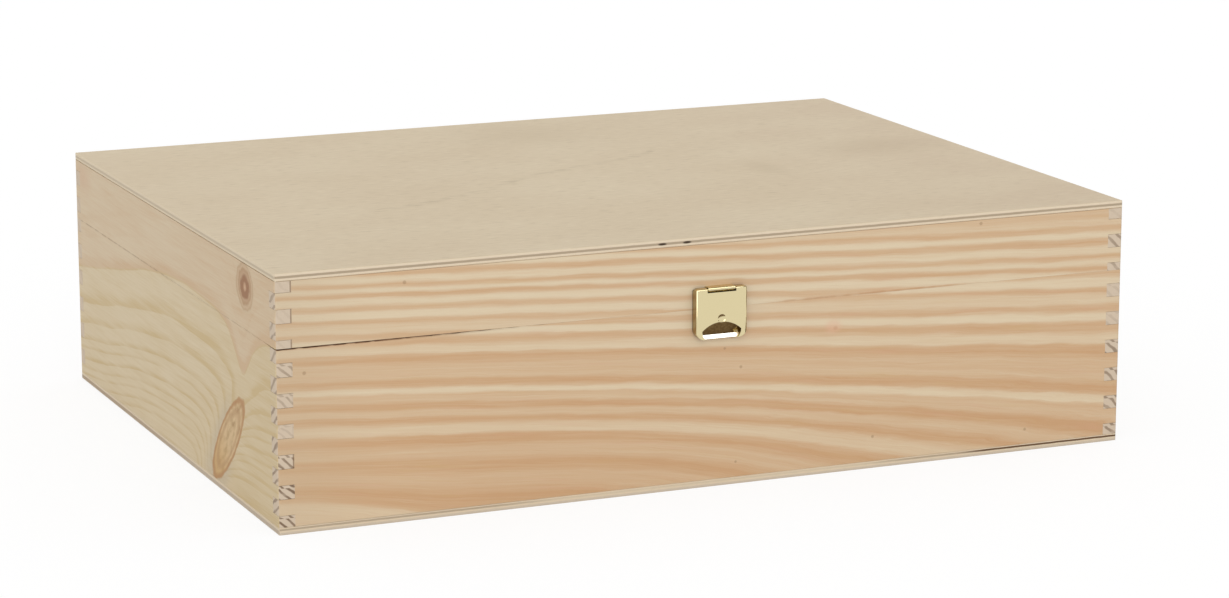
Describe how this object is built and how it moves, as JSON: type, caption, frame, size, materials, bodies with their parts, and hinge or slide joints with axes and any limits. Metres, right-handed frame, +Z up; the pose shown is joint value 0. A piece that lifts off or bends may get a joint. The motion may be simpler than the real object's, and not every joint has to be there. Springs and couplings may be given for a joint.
{
  "type": "wooden wine box",
  "caption": "Flat pine box for wine bottles lying side by side, with finger-jointed corners, plywood top and bottom, a hinged lid and a pressed metal snap catch.",
  "frame": {"origin": "centre of the underside, on the surface that the box stands on", "axes": "+X to the right along the front, +Y from the front with the catch to the back with the hinges, +Z up"},
  "size_m": [0.36, 0.2788, 0.1],
  "materials": {
    "pine": "planed and sanded, unfinished",
    "plywood": "sanded thin plywood, unfinished",
    "brass": "bright brass-plated steel sheet"
  },
  "bodies": {
    "base": {"base_front_board": "pine", "base_back_board": "pine", "base_left_board": "pine", "base_right_board": "pine", "base_panel": "plywood", "front_divider": "plywood", "rear_divider": "plywood", "left_hinge_base_leaf": "brass", "left_hinge_pin": "brass", "right_hinge_base_leaf": "brass", "right_hinge_pin": "brass", "hinge_nails_base": "brass", "catch_strike": "brass", "catch_nails_base": "brass"},
    "lid": {"lid_front_board": "pine", "lid_back_board": "pine", "lid_left_board": "pine", "lid_right_board": "pine", "lid_panel": "plywood", "left_hinge_lid_leaf": "brass", "right_hinge_lid_leaf": "brass", "hinge_nails_lid": "brass", "catch_plate": "brass", "catch_nails_lid": "brass"},
    "catch_cover": {"catch_cover": "brass"}
  },
  "joints": [
    {"name": "lid_hinge", "type": "hinge", "parent": "base", "child": "lid", "pos_m": [0, 0.1376, 0.0715], "axis": [-1, 0, 0], "range_deg": [0, 180]},
    {"name": "cover_hinge", "type": "hinge", "parent": "lid", "child": "catch_cover", "pos_m": [0, -0.13875, 0.0796], "axis": [-1, 0, 0], "range_deg": [0, 120]}
  ]
}
